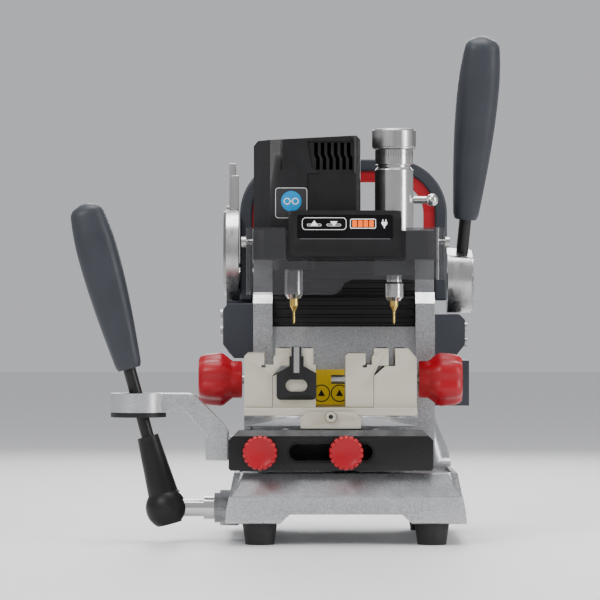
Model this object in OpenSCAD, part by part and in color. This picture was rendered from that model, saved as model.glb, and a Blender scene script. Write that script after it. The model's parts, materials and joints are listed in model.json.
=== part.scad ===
// Manual key duplicating machine: base, cross slides with two key jaws,
// vertical head with a cutter and a tracer, and two feed levers.
// Millimetres, +Z up, +Y away from the operator.

/* [Base] */
// Width of the base casting at its front
base_w = 152; // [146:1:158]
// Height of the base casting's flat top
base_top = 50; // [48:1:51]
// Height of the rubber feet
foot_h = 15; // [12:1:18]
// Y of the base casting's front face
base_front = -60; // [-64:1:-58]
// Y of the base casting's back face
base_back = 138; // [136:1:144]

/* [Cross slides] */
// X of the table's centre at rest
table_x = -10.5; // [-11:0.5:-10]
// Width of the bed plate and the two jaws together
bed_w = 121; // [119:1:122]
// Depth of the bed plate
bed_d = 84; // [80:1:88]
// Depth of the key jaws
jaw_d = 60; // [54:1:64]
// Height of the bed plate's top
bed_top = 95; // [95:0.5:97]
// Length of the black front bar
bar_w = 142; // [138:1:144]

/* [Head] */
// Distance from the cutter's axis to the tracer's axis
tool_pitch = 71; // [69:0.5:72]
// Height of the cutter's and tracer's tips above the floor
tip_z = 153.4; // [152:0.2:156]
// Width of the head casting
head_w = 130; // [128:1:131]
// Height of the motor cover's top
cover_top = 286; // [282:1:288]
// Shield thickness
shield_t = 2; // [1.6:0.2:2.4]

/* [Levers] */
// Tilt of the cross-feed lever from vertical
xy_tilt = 15.2; // [14:0.2:16]
// Length of the cross-feed lever from its pivot to the grip's end
xy_len = 221; // [210:1:226]
// Sideways lean of the head lever
z_lean = 5; // [4:0.5:6]
// Forward lean of the head lever
z_forward = 12; // [8:1:14]
// Length of the head lever from its axis to the grip's end
z_len = 182; // [170:1:186]

/* [Hidden] */
$fn = 48;
run_gap = 0.05;

// Frame: centre of the whole machine's footprint, in base coordinates
centre_x = -38.8;
centre_y = 35;

silver = [0.72, 0.72, 0.74];
steel = [0.80, 0.80, 0.82];
iron_black = [0.08, 0.08, 0.09];
slate = [0.22, 0.24, 0.28];
knob_red = [0.80, 0.08, 0.10];
cream = [0.85, 0.82, 0.72];
brass = [0.82, 0.66, 0.28];

// Base
base_side = base_w / 2;
wall_x = 84;
well_y0 = -36;
well_y1 = 54;
well_z = 31;
foot_x = 60;
foot_y0 = -46;
foot_y1 = 118;

// Cross-feed pivot
pivot_x = -125.4;
pivot_y = -26;
pivot_z = 24.5;
pivot_shaft_r = 6.1;
boss_r = 10.5;
boss_x = -92;

// Slide rods
x_rod_r = 5;
x_rod_z = 42;
x_rod_y = [-22, 36];
x_bush_r = 8;
y_rod_r = 4;
y_rod_z = 77;
y_rod_dx = 31.5;
carriage_w = 103;
carriage_z = 52.5;
carriage_top = 69;
upright_top = 82;
front_wall = [-50, -44];
rear_wall = [50, 56];

// Front bar and its knobs
bar_y = [-62, -50];
bar_z = [52, 80];
lock_z = 64.8;
slot_w = 58;
slot_h = 12;
y_lock_x = -59.6;
lock_knob_r = 12.1;
lock_knob_y = [-77, -62.4];
lock_stem_r = 4;

// Table and jaws
table_z = 82.5;
bed_z = 89.5;
jaw_y = jaw_d / 2;
jaw_step = 125;
jaw_top = 136.5;
jaw_low = 133;
screw_z = 114;
screw_r = 3.2;
knob_r = 19;

// Arm
eye_x = -145.5;
eye_z = [91.6, 105];
eye_r = 19.5;
arm_y = [-36, -16];

// Column and head guides
cheek_x = [52, 66];
col_y = [60, 136];
col_step_y = 76;
col_low_top = 176;
col_top = 222;
z_rod_x = 36;
z_rod_y = 91;
z_rod_r = 6;
z_bush_r = 9.5;
carr_y = [78, 104];
carr_z = [158, 209];
floor_z = [98, 112];
cap_z = [210, 222];

// Head
cutter_x = -36.2;
tracer_x = cutter_x + tool_pitch;
plate_z = [199, 219];
head_front = -38;
head_neck = 50;
cover_x = [-64.6, 10.7];
cover_y = [-28, 56];
cover_wall = 4;
collet_r = 6.6;
spindle_r = 5;
bearing_r = 11;
barrel_r = 13.7;
thimble_r = 15.6;

// Shield
shield_x = 69.6;
shield_y = [-46, -5];
shield_hinge = [-30, 211];
shield_top = 221;

// Head lever
z_axis = [120.6, 186];
z_shaft_r = 8;
hub_r = 25;
hub_x = [77, 96];
pinion_teeth = 20;
gear_module = 1.5;
pinion_pitch_r = pinion_teeth * gear_module / 2;

// ---------- helpers ----------

// Moves the base's own frame to the centre of the machine's footprint
module placed() {
    translate([-centre_x, -centre_y, 0]) children();
}

// Box between two values on each axis
module box(x, y, z) {
    translate([x[0], y[0], z[0]]) cube([x[1] - x[0], y[1] - y[0], z[1] - z[0]]);
}

// Cylinder along X, from x[0] to x[1]
module rod_x(x, y, z, r) {
    translate([x[0], y, z]) rotate([0, 90, 0]) cylinder(r = r, h = x[1] - x[0]);
}

// Cylinder along Y, from y[0] to y[1]
module rod_y(x, y, z, r) {
    translate([x, y[0], z]) rotate([-90, 0, 0]) cylinder(r = r, h = y[1] - y[0]);
}

// Cylinder along Z, from z[0] to z[1]
module rod_z(x, y, z, r) {
    translate([x, y, z[0]]) cylinder(r = r, h = z[1] - z[0]);
}

// An XZ outline given a thickness along Y
module slab_xz(y) {
    translate([0, y[1], 0]) rotate([90, 0, 0]) linear_extrude(y[1] - y[0]) children();
}

// A YZ outline given a thickness along X
module slab_yz(x) {
    translate([x[0], 0, 0]) rotate([90, 0, 90]) linear_extrude(x[1] - x[0]) children();
}

// Rectangle with round corners, from two corner points
module round_rect(a, b, r) {
    translate([a[0] + r, a[1]]) square([b[0] - a[0] - 2 * r, b[1] - a[1]]);
    translate([a[0], a[1] + r]) square([b[0] - a[0], b[1] - a[1] - 2 * r]);
    for (x = [a[0] + r, b[0] - r], y = [a[1] + r, b[1] - r])
        translate([x, y]) circle(r);
}

// ---------- base ----------

module base_outline() {
    polygon([
        [base_front, foot_h], [base_front, 34], [-52, base_top],
        [base_back, base_top], [base_back, foot_h]
    ]);
}

module base_casting() {
    well_x = base_side - 2;
    skin = 7;
    cavity_top = 24;
    color(silver) placed() difference() {
        union() {
            // Sides that lean in towards the top
            intersection() {
                slab_yz([-wall_x, wall_x]) base_outline();
                slab_xz([base_front, base_back]) polygon([
                    [-wall_x, foot_h], [wall_x, foot_h], [wall_x - 1, foot_h + 10],
                    [base_side + 2, base_top], [-base_side - 2, base_top],
                    [1 - wall_x, foot_h + 10]
                ]);
            }
            rod_x([boss_x, -base_side + 1], pivot_y, pivot_z, boss_r);
            rod_x([boss_x + 4, -base_side + 1], pivot_y, pivot_z, boss_r + 2);
            // Post that takes the X lock screw
            box([-8, 8], [-43, -35], [base_top - 4, 69.6]);
            box([-8, 8], [-43, -32], [base_top - 4, 51]);
        }
        // Front corners: the top slopes in at each side
        for (s = [-1, 1])
            slab_xz([base_front - 1, -47]) polygon([
                [s * (base_side - 5), base_top + 1], [s * (base_side - 2), base_top - 8],
                [s * (base_side + 3), 34], [s * wall_x, 34],
                [s * wall_x, base_top + 1]
            ]);
        // Well for the X rods and the carriage's bush blocks
        box([-well_x, well_x], [well_y0, well_y1], [well_z, base_top + 1]);
        // Hollow underside
        box([-base_side + skin, base_side - skin], [base_front + skin, base_back - skin],
            [foot_h - 1, cavity_top]);
        // Arch between the front feet
        slab_xz([base_front - 1, base_back + 1]) polygon([
            [-46, foot_h - 1], [-46, foot_h], [-39, foot_h + 6.5],
            [39, foot_h + 6.5], [46, foot_h], [46, foot_h - 1]
        ]);
        for (y = x_rod_y) rod_x([-base_side - 1, base_side + 1], y, x_rod_z, x_rod_r);
        rod_x([boss_x - 1, -base_side + 12], pivot_y, pivot_z, pivot_shaft_r + run_gap);
        rod_y(0, [-44, -34], lock_z, lock_stem_r + run_gap);
        for (x = [-foot_x, foot_x], y = [foot_y0, foot_y1])
            rod_z(x, y, [foot_h - 1, foot_h + 6], 3);
    }
}

module rubber_feet() {
    color(iron_black) placed()
        for (x = [-foot_x, foot_x], y = [foot_y0, foot_y1])
            translate([x, y, 0]) {
                cylinder(r1 = 10, r2 = 12.2, h = foot_h);
                translate([0, 0, foot_h]) cylinder(r = 3, h = 5);
            }
}

module x_rods() {
    color(steel) placed()
        for (y = x_rod_y) rod_x([-base_side - 1, base_side + 1], y, x_rod_z, x_rod_r);
}

// ---------- column ----------

module column_casting() {
    inner = cheek_x[0];
    outer = cheek_x[1];
    color(silver) placed() difference() {
        union() {
            for (s = [-1, 1]) {
                xs = s > 0 ? cheek_x : [-outer, -inner];
                slab_yz(xs) polygon([
                    [col_y[0], base_top], [col_y[0], col_low_top - 8],
                    [col_y[0] + 8, col_low_top], [col_step_y, col_low_top],
                    [col_step_y + 4, col_top], [col_y[1], col_top], [col_y[1], base_top]
                ]);
                // Flared skirt
                slab_xz([62, 132]) polygon([
                    [s * (outer - 1), 92], [s * (outer + 1), 82], [s * base_side, 61],
                    [s * (base_side + 2), base_top], [s * (outer - 1), base_top]
                ]);
            }
            // Sloping front panel
            slab_yz([-inner - 1, inner + 1]) polygon([
                [60, base_top], [60, 116], [66, 151], [71.5, 151],
                [66, 115], [66, base_top]
            ]);
            // Guide rod floor and cap
            box([-inner - 1, inner + 1], [65, 132], floor_z);
            box([-inner - 1, inner + 1], [80, 132], cap_z);
            // Back wall
            box([-inner - 1, inner + 1], [130, col_y[1]], [base_top, col_top]);
        }
        for (s = [-1, 1]) {
            rod_z(s * z_rod_x, z_rod_y, [floor_z[0] - 1, col_top + 1], z_rod_r);
            // Vertical slots beside the front posts
            slab_yz(s > 0 ? [60, 67] : [-67, -60])
                round_rect([64, 152], [70, 170], 2.9);
        }
        rod_x([-outer - 1, outer + 1], z_axis[0], z_axis[1], z_shaft_r + run_gap);
        // Window for wiring, closed by the rear cover
        box([-30, 30], [129, 137], [120, 160]);
        // Window that the pinion turns in
        box([-9.5, 9.5], [129, 137], [z_axis[1] - 15.5, z_axis[1] + 15.5]);
    }
}

module z_rods() {
    color(steel) placed()
        for (s = [-1, 1]) rod_z(s * z_rod_x, z_rod_y, [floor_z[0], col_top], z_rod_r);
}

module lift_springs() {
    wire_r = 0.9;
    coils = 9;
    low = floor_z[1] + wire_r;
    pitch = (carr_z[0] - floor_z[1] - 2 * wire_r) / (coils - 1);
    color(steel) placed()
        for (s = [-1, 1], i = [0 : coils - 1])
            translate([s * z_rod_x, z_rod_y, low + i * pitch])
                rotate_extrude() translate([z_rod_r + 2, 0]) circle(wire_r, $fn = 16);
}

// Horizontal ribs on a black cover, between two heights
module ribbed_cover(y, z, ribs) {
    rib_r = 1.6;
    span = cheek_x[0] - 0.6;
    box([-span, span], [y, y + 2.4], z);
    for (i = [0 : ribs - 1]) {
        rib_z = z[0] + rib_r + (z[1] - z[0] - 2 * rib_r) * i / (ribs - 1);
        rod_x([-span, span], y + 0.6, rib_z, rib_r);
    }
}

module way_cover_lower() {
    color(iron_black) placed() ribbed_cover(67.5, [151, 173], 4);
}

module way_cover_upper() {
    color(iron_black) placed() ribbed_cover(74, [163, plate_z[0]], 6);
}

// ---------- side shells, handle, rear ----------

function shell_screw_z(s) = s < 0 ? [148, 160] : [140, 151];

module side_shell(s, top) {
    shell_x = 88;
    inner = cheek_x[1];
    y = [62, 130];
    wall = 3;
    difference() {
        slab_xz(y) polygon([
            [s * inner, 128], [s * (shell_x - 8), 128], [s * shell_x, 138],
            [s * shell_x, top - 4], [s * (shell_x - 4), top], [s * inner, top]
        ]);
        slab_xz([y[0] + wall, y[1] - wall]) polygon([
            [s * (inner - 1), 128 + wall], [s * (shell_x - 8 - wall / 2), 128 + wall],
            [s * (shell_x - wall), 139], [s * (shell_x - wall), top - 5],
            [s * (shell_x - 5), top - wall], [s * (inner - 1), top - wall]
        ]);
        for (z = shell_screw_z(s))
            rod_x(s > 0 ? [inner, shell_x + 1] : [-shell_x - 1, -inner], 76, z, 2);
    }
}

module left_side_shell() {
    color(slate) placed() side_shell(-1, 168);
}

module right_side_shell() {
    color(slate) placed() side_shell(1, 160);
}

module side_screws() {
    head_r = 3.6;
    color(steel) placed()
        for (s = [-1, 1], z = shell_screw_z(s)) {
            rod_x(s > 0 ? [cheek_x[1], 88] : [-88, -cheek_x[1]], 76, z, 2);
            rod_x(s > 0 ? [88, 90] : [-90, -88], 76, z, head_r);
        }
}

module left_bearing_plate() {
    x = [-86, -77];
    disc_y = 106;
    disc_z = 205;
    disc_r = 35;
    color(silver) placed() difference() {
        union() {
            rod_x(x, disc_y, disc_z, disc_r);
            rod_x([-88, -77], disc_y, disc_z, disc_r - 4);
            box([-84, -77], [92, 110], [disc_z, 262]);
            box([-84, -79], [95, 107], [disc_z, 271]);
        }
        rod_x([-90, -76], z_axis[0], z_axis[1], z_shaft_r + run_gap);
    }
}

module arch_outline(inset) {
    half = 76 - inset;
    r = 40 - inset;
    translate([-half, 150]) square([2 * half, 84]);
    translate([-36, 150]) square([72, 124 - inset]);
    for (x = [-36, 36]) translate([x, 234]) circle(r);
}

module handle_arch() {
    color(slate) placed() slab_xz([88, 108]) difference() {
        arch_outline(0);
        arch_outline(9);
        translate([-80, 149]) square([160, 21]);
    }
}

module handle_inlay() {
    color(knob_red) placed() slab_xz([91, 105]) difference() {
        arch_outline(9);
        arch_outline(17);
        translate([-80, 149]) square([160, col_top + 0.3 - 149]);
    }
}

module rear_cover() {
    y = [col_y[1], 147];
    wall = 2.5;
    color(slate) placed() difference() {
        union() {
            slab_xz(y) round_rect([-64, 60], [64, 218], 10);
            // Wing behind the left bearing plate
            slab_xz([y[1] - 5, y[1]]) round_rect([-87, 128], [-50, 198], 8);
        }
        slab_xz([y[0] - 1, y[1] - wall]) round_rect([-64 + wall, 60 + wall],
            [64 - wall, 218 - wall], 8);
        for (i = [0 : 6])
            slab_xz([y[0], y[1] + 1]) round_rect([-34, 84 + i * 10], [34, 88 + i * 10], 1.9);
    }
}

module control_box() {
    x = [cheek_x[1], 92];
    y = [84, 130];
    z = [93, 126];
    color(slate) placed() difference() {
        box(x, y, z);
        box([x[0] - 1, x[1] - 3], [y[0] + 3, y[1] - 3], [z[0] + 3, z[1] - 3]);
        // Rocker opening and supply socket in the back wall
        box([70.5, 79.5], [y[1] - 5, y[1] + 1], [102.6, 117.4]);
        rod_y(86, [y[1] - 5, y[1] + 1], 110, 3);
    }
}

module power_switch() {
    color(iron_black) placed() difference() {
        rod_x([71, 79], 125, 110, 7);
        box([70, 80], [116, 121], [102, 118]);
        // Two faces of the rocker
        translate([70, 130.5, 110]) rotate([10, 0, 0]) cube([10, 6, 10]);
        translate([70, 130.5, 110]) rotate([-10, 0, 0]) translate([0, 0, -10]) cube([10, 6, 10]);
    }
}

// ---------- cross slides ----------

module slot_xz(w, h) {
    round_rect([table_x - w / 2, lock_z - h / 2], [table_x + w / 2, lock_z + h / 2], h / 2 - 0.01);
}

module cross_carriage() {
    x = [table_x - carriage_w / 2, table_x + carriage_w / 2];
    color(silver) placed() difference() {
        union() {
            box(x, [front_wall[0], rear_wall[1]], [carriage_z, carriage_top]);
            box(x, front_wall, [carriage_z, upright_top - 2.4]);
            box(x, rear_wall, [carriage_z, upright_top]);
            // Bush blocks that hang into the well
            for (y = x_rod_y) box(x, [y - 12, y + 12], [32.5, carriage_z + 1]);
        }
        for (y = x_rod_y) rod_x([x[0] - 1, x[1] + 1], y, x_rod_z, x_bush_r);
        for (dx = [-y_rod_dx, y_rod_dx])
            rod_y(table_x + dx, [front_wall[0] - 1, rear_wall[1] + 1], y_rod_z, y_rod_r);
        // Room for the X lock post over the whole travel
        box([table_x - 33, table_x + 34], [front_wall[1], -34], [31, 85]);
        box([table_x - 33, table_x + 34], [front_wall[1], -30], [51, 85]);
        slab_xz([front_wall[0] - 1, front_wall[1] + 1]) slot_xz(slot_w, slot_h);
        // Bore of the Y lock screw
        rod_y(y_lock_x, [front_wall[0] - 1, front_wall[1] + 1], lock_z, lock_stem_r + run_gap);
    }
}

module x_bushes() {
    bush_l = 22;
    ends = [table_x - carriage_w / 2, table_x + carriage_w / 2 - bush_l];
    color(brass) placed()
        for (y = x_rod_y, x = ends) difference() {
            rod_x([x, x + bush_l], y, x_rod_z, x_bush_r);
            rod_x([x - 1, x + bush_l + 1], y, x_rod_z, x_rod_r + run_gap);
        }
}

module y_rods() {
    color(steel) placed()
        for (dx = [-y_rod_dx, y_rod_dx])
            rod_y(table_x + dx, [front_wall[0], rear_wall[1]], y_rod_z, y_rod_r);
}

module front_bar() {
    half = bar_w / 2;
    chamfer = 7;
    color(iron_black) placed() difference() {
        slab_xz(bar_y) polygon([
            [table_x - half, bar_z[0] + 1.5], [table_x - half + 1.5, bar_z[0]],
            [table_x + half - 1.5, bar_z[0]], [table_x + half, bar_z[0] + 1.5],
            [table_x + half, bar_z[1] - chamfer], [table_x + half - chamfer, bar_z[1]],
            [table_x - half + chamfer, bar_z[1]], [table_x - half, bar_z[1] - chamfer]
        ]);
        // Front top edge
        slab_yz([table_x - half - 1, table_x + half + 1]) polygon([
            [bar_y[0] - 1, bar_z[1] + 1], [bar_y[0] - 1, bar_z[1] - 4],
            [bar_y[0], bar_z[1] - 4], [bar_y[0] + 4, bar_z[1]], [bar_y[0] + 4, bar_z[1] + 1]
        ]);
        slab_xz([bar_y[0] - 1, bar_y[1] + 1]) slot_xz(slot_w, slot_h);
        slab_xz([bar_y[0] - 1, bar_y[0] + 1.2]) slot_xz(slot_w + 3, slot_h + 3);
        rod_y(y_lock_x, [bar_y[0] - 1, bar_y[1] + 1], lock_z, lock_stem_r + run_gap);
    }
}

// Round knob with finger notches and a screw behind it
module lock_knob(x, stem_end) {
    notches = 12;
    difference() {
        union() {
            rod_y(x, [lock_knob_y[0] + 1.5, lock_knob_y[1] - 2], lock_z, lock_knob_r);
            rod_y(x, [lock_knob_y[0], lock_knob_y[1] - 2], lock_z, lock_knob_r - 2);
        }
        for (i = [0 : notches - 1])
            rotate_about_y(x, lock_z, i * 360 / notches)
                rod_y(x + lock_knob_r + 0.6, [lock_knob_y[0] - 1, lock_knob_y[1]], lock_z, 1.5);
    }
    rod_y(x, [lock_knob_y[1] - 2, lock_knob_y[1]], lock_z, lock_knob_r - 4);
    rod_y(x, [lock_knob_y[1], stem_end], lock_z, lock_stem_r);
}

module rotate_about_y(x, z, angle) {
    translate([x, 0, z]) rotate([0, angle, 0]) translate([-x, 0, -z]) children();
}

module x_lock_knob() {
    color(knob_red) placed() lock_knob(0, -36);
}

module y_lock_knob() {
    color(knob_red) placed() lock_knob(y_lock_x, bar_y[1] + 5.6);
}

// ---------- table and jaws ----------

module table() {
    x = [table_x - bed_w / 2, table_x + bed_w / 2];
    lug_x = [-82, -64.8];
    color(silver) placed() difference() {
        union() {
            box(x, [-45, 45], [table_z, bed_z]);
            // Bearing blocks on the Y rods
            for (dx = [-y_rod_dx, y_rod_dx])
                box([table_x + dx - 10, table_x + dx + 10], [-29, 34], [70.2, table_z + 1]);
            // Skirt and lug that carry the lever arm
            box([-71, lug_x[1]], arm_y, [58, table_z + 1]);
            box([lug_x[0], -70], arm_y, [58, 75]);
        }
        for (dx = [-y_rod_dx, y_rod_dx])
            rod_y(table_x + dx, [-50, 50], y_rod_z, y_rod_r + run_gap);
        // Facets along the front edge
        for (s = [-1, 1])
            translate([table_x + s * 45, -45, bed_z]) rotate([0, s * 9, 0])
                rotate([45, 0, 0]) cube([44, 6, 6], center = true);
    }
}

module bed_plate() {
    color(cream) placed()
        box([table_x - bed_w / 2, table_x + bed_w / 2], [-bed_d / 2, bed_d / 2], [bed_z, bed_top]);
}

module front_bracket() {
    color(cream) placed() {
        slab_xz([-50, -45]) polygon([
            [table_x - 21, 80.8], [table_x + 21, 80.8], [table_x + 21, 88],
            [table_x + 16, 92.5], [table_x - 16, 92.5], [table_x - 21, 88]
        ]);
        // Socket screw
        difference() {
            rod_y(table_x, [-53, -50], 89, 3.8);
            rod_y(table_x, [-54, -51.5], 89, 2, $fn = 6);
        }
    }
}

// Outline of a jaw's inner half; x is measured from the jaw's left side
module jaw_block_outline(slot_x, slope) {
    polygon([
        [20, bed_top], [50, bed_top], [50, slope ? 129.5 : jaw_step],
        [slope ? 44 : 48.4, slope ? jaw_top : jaw_step],
        [slope ? 44 : 48.4, jaw_top], [slot_x, jaw_top],
        [slot_x, jaw_step - 1], [slot_x - 7, jaw_step - 1], [20, 117]
    ]);
}

module jaw_slider_outline(slot_x, tower_x) {
    polygon([
        [0, bed_top + 0.3], [19.7, bed_top + 0.3], [19.7, 117.2], [slot_x - 7.2, jaw_step - 0.7],
        [slot_x, jaw_step - 0.7], [slot_x, jaw_top], [tower_x, jaw_top],
        [tower_x, 132], [tower_x - 1.5, 130.5], [tower_x - 1.5, jaw_step],
        [15, jaw_step], [15, 123], [12, 123], [12, jaw_step], [14, jaw_step],
        [14, jaw_low], [2, jaw_low], [0, 131]
    ]);
}

module left_jaw_block() {
    color(cream) placed() difference() {
        slab_xz([-jaw_y, jaw_y]) translate([-71, 0]) jaw_block_outline(40.6, false);
        rod_x([-52, -20], 0, screw_z, screw_r + run_gap);
    }
}

module right_jaw_block() {
    color(cream) placed() difference() {
        slab_xz([-jaw_y, jaw_y]) translate([0, 0]) jaw_block_outline(35, true);
        rod_x([19, 51], 0, screw_z, screw_r + run_gap);
    }
}

module left_jaw_slider() {
    color(cream) placed() difference() {
        slab_xz([-jaw_y, jaw_y]) translate([-71, 0]) jaw_slider_outline(32.8, 22);
        rod_x([-72, -50], 0, screw_z, screw_r + run_gap);
    }
}

module right_jaw_slider() {
    color(cream) placed() difference() {
        slab_xz([-jaw_y, jaw_y]) jaw_slider_outline(30.2, 20);
        rod_x([-1, 21], 0, screw_z, screw_r + run_gap);
    }
}

// Six-sided red knob that widens away from its neck; s is the side it is on
module clamp_knob(s, x) {
    color(knob_red) placed() translate([x, 0, screw_z]) mirror([s < 0 ? 1 : 0, 0, 0])
        difference() {
            union() {
                rotate([0, 90, 0]) cylinder(r = 13.2, h = 10);
                intersection() {
                    translate([7, 0, 0]) rotate([0, 90, 0]) cylinder(r = knob_r + 1.4, h = 24, $fn = 6);
                    rotate([0, 90, 0]) rotate_extrude() polygon([
                        [0, 7], [12.8, 7], [knob_r, 13], [knob_r, 25], [knob_r - 2.5, 30.5], [0, 31]
                    ]);
                }
            }
            // The screw is moulded into the knob
            translate([-1, 0, 0]) rotate([0, 90, 0]) cylinder(r = screw_r, h = 17);
        }
}

module left_clamp_knob() {
    clamp_knob(-1, -73);
}

module left_clamp_screw() {
    color(steel) placed() rod_x([-89, -24], 0, screw_z, screw_r);
}

module right_clamp_knob() {
    clamp_knob(1, 52.3);
}

module right_clamp_screw() {
    color(steel) placed() rod_x([-9.7, 68.3], 0, screw_z, screw_r);
}

module sample_key() {
    y = [-33.6, -30.6];
    x = -34.4;
    color(iron_black) placed() difference() {
        union() {
            slab_xz(y) round_rect([x - 14, 100.4], [x + 14, 119], 3);
            slab_xz(y) polygon([
                [x - 14, 116], [x - 14, 119], [x - 5, 124], [x - 5, 131],
                [x + 5, 131], [x + 5, 124], [x + 14, 119], [x + 14, 116]
            ]);
            box([x - 3.3, x + 3.3], [-33.6, -12], [126, 137.5]);
        }
        slab_xz([y[0] - 1, y[1] + 1]) round_rect([x - 7.6, 106.2], [x + 7.6, 114.6], 4.19);
    }
}

// ---------- cross-feed lever ----------

module lever_arm() {
    thick = eye_z[1] - eye_z[0];
    color(silver) placed() difference() {
        union() {
            rod_z(eye_x, pivot_y, eye_z, eye_r);
            slab_xz(arm_y) polygon([
                [eye_x, eye_z[0]], [-112, eye_z[0]], [-98, 75], [-98, 58], [-82, 58],
                [-82, 78], [-86, 84], [-105, 103], [-110, eye_z[1]], [eye_x, eye_z[1]]
            ]);
        }
        rod_z(eye_x, pivot_y, [eye_z[0] - 1, eye_z[1] + 1], 15);
    }
}

// Hourglass bush: the opening is widest at its two ends
module eye_bush() {
    mid = (eye_z[0] - 3.4 + eye_z[1]) / 2;
    half = (eye_z[1] - eye_z[0] + 3.4) / 2;
    throat = 6.5;
    mouth = 13.2;
    color(iron_black) placed() translate([eye_x, pivot_y, mid]) rotate_extrude() polygon(concat(
        [[15, half], [15, 3.4 - half], [eye_r, 3.4 - half], [eye_r, -half]],
        [for (i = [0 : 12])
            let (t = -1 + i / 6) [throat + (mouth - throat) * t * t, half * t]]
    ));
}

module pivot_shaft() {
    color(steel) placed() {
        rod_x([pivot_x + 4, -base_side + 11], pivot_y, pivot_z, pivot_shaft_r);
        rod_x([boss_x - 7.5, boss_x - 0.3], pivot_y, pivot_z, 8);
        // Hinge pin across the shaft's flattened end
        box([pivot_x - 6, pivot_x + 5], [pivot_y - 3, pivot_y + 3], [pivot_z - 6, pivot_z + 6]);
        rod_y(pivot_x, [pivot_y - 14, pivot_y + 14], pivot_z, 2.5);
    }
}

// Places something built along +Z from the pivot onto the tilted lever
module on_xy_lever() {
    translate([pivot_x, pivot_y, pivot_z]) rotate([0, -xy_tilt, 0]) children();
}

module xy_hood() {
    ball_r = 15;
    wall = 2.6;
    slot_half = 7.2;
    slot_up = 24;
    slot_down = 10;
    color(iron_black) placed() difference() {
        on_xy_lever() difference() {
            union() {
                sphere(ball_r);
                translate([0, 0, 6]) cylinder(r1 = 11, r2 = 7.5, h = 46);
            }
            sphere(ball_r - wall);
            translate([0, 0, -11.5 - ball_r]) cylinder(r = ball_r + 1, h = ball_r);
            translate([0, 0, 24]) cylinder(r = 4.5, h = 40);
            rotate([90, 0, 0]) cylinder(r = 2.5 + run_gap, h = 60, center = true);
        }
        // Slot for the shaft over the lever's whole swing
        slab_xz([pivot_y - slot_half, pivot_y + slot_half]) translate([pivot_x, pivot_z]) polygon([
            [-slot_half * sin(slot_up), slot_half * cos(slot_up)],
            [20 * cos(slot_up), slot_half + 20 * sin(slot_up)],
            [20 * cos(slot_down), -slot_half - 20 * sin(slot_down)],
            [-slot_half * sin(slot_down), -slot_half * cos(slot_down)]
        ]);
    }
}

module xy_rod() {
    color(iron_black) placed() on_xy_lever() translate([0, 0, 24]) cylinder(r = 4.5, h = 130);
}

// Lever grip along +Z: slim at its foot, full above, flattened front and back
module grip(length, foot_r, full_r, top_r, bore_l) {
    difference() {
        intersection() {
            rotate_extrude() polygon(concat(
                [[0, 0], [foot_r - 1, 0], [foot_r, 1.5], [foot_r + 0.6, length * 0.14]],
                [for (i = [0 : 8])
                    let (t = i / 8)
                    [foot_r + 0.6 + (full_r - foot_r - 0.6) * sin(90 * t), length * (0.16 + 0.54 * t)]],
                [for (i = [0 : 6])
                    let (t = i / 6)
                    [full_r - (full_r - top_r) * t * t, length * (0.72 + 0.22 * t)]],
                [for (i = [1 : 6])
                    let (a = 15 * i)
                    [top_r * cos(a), length * 0.94 + length * 0.06 * sin(a)]]
            ));
            translate([-40, -full_r * 0.82, -1]) cube([80, full_r * 1.64, length + 2]);
        }
        translate([0, 0, -1]) cylinder(r = 4.5, h = bore_l + 1);
    }
}

module xy_grip() {
    foot = 101;
    color(slate) placed() on_xy_lever() translate([0, 0, foot])
        grip(xy_len - foot, 9.3, 14.6, 11.5, 53);
}

// ---------- head ----------

module head_casting() {
    half = head_w / 2;
    carr_half = 49;
    color(slate) placed() difference() {
        union() {
            box([-carr_half, carr_half], carr_y, carr_z);
            box([-carr_half, carr_half], [head_neck - 2, 78.5], plate_z);
            // Working plate with round front corners
            translate([0, 0, plate_z[0]]) linear_extrude(plate_z[1] - plate_z[0])
                round_rect([-half, head_front], [half, head_neck], 8);
            rod_z(cutter_x, 0, [192, 200], 15);
            rod_z(tracer_x, 0, [192, 200], 13);
            box([tracer_x - 14, tracer_x + 14], [-14, 14], [188, 200]);
            // Rack teeth on the back of the carriage
            rack();
        }
        for (s = [-1, 1]) rod_z(s * z_rod_x, z_rod_y, [150, 230], z_bush_r);
        rod_z(cutter_x, 0, [187, 230], bearing_r);
        rod_z(tracer_x, 0, [187, 230], 6 + run_gap);
        // Threaded holes of the shield screws
        for (s = [-1, 1])
            rod_x(s > 0 ? [60, 71] : [-71, -60], shield_hinge[0], shield_hinge[1], 2);
        // Pocket that lightens the plate from above, covered by the motor cover
        box([-10, 5], [0, 45], [plate_z[0] + 6, plate_z[1] + 1]);
    }
}

module rack() {
    pitch = PI * gear_module;
    face_y = carr_y[1];
    slab_yz([-9, 9])
        for (i = [-5 : 4])
            let (z = z_axis[1] + (i + 0.5) * pitch)
                polygon([
                    [face_y - 1, z - 1.3], [face_y, z - 1.3], [face_y + 2.6, z - 0.5],
                    [face_y + 2.6, z + 0.5], [face_y, z + 1.3], [face_y - 1, z + 1.3]
                ]);
}

module head_bushes() {
    color(brass) placed()
        for (s = [-1, 1], z = [carr_z[0], carr_z[1] - 16]) difference() {
            rod_z(s * z_rod_x, z_rod_y, [z, z + 16], z_bush_r);
            rod_z(s * z_rod_x, z_rod_y, [z - 1, z + 17], z_rod_r + run_gap);
        }
}

// Motor cover seen from above, drawn in by an inset, with its left front corner cut off
module cover_outline(inset) {
    cut = 12.5;
    difference() {
        round_rect([cover_x[0] + inset, cover_y[0] + inset],
            [cover_x[1] - inset, cover_y[1] - inset], 7 - inset);
        translate([cover_x[0] - 1, cover_y[0] - 1])
            polygon([[0, 0], [cut + 1 + inset * 1.4, 0], [0, cut + 4 + inset * 1.4]]);
    }
}

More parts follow.
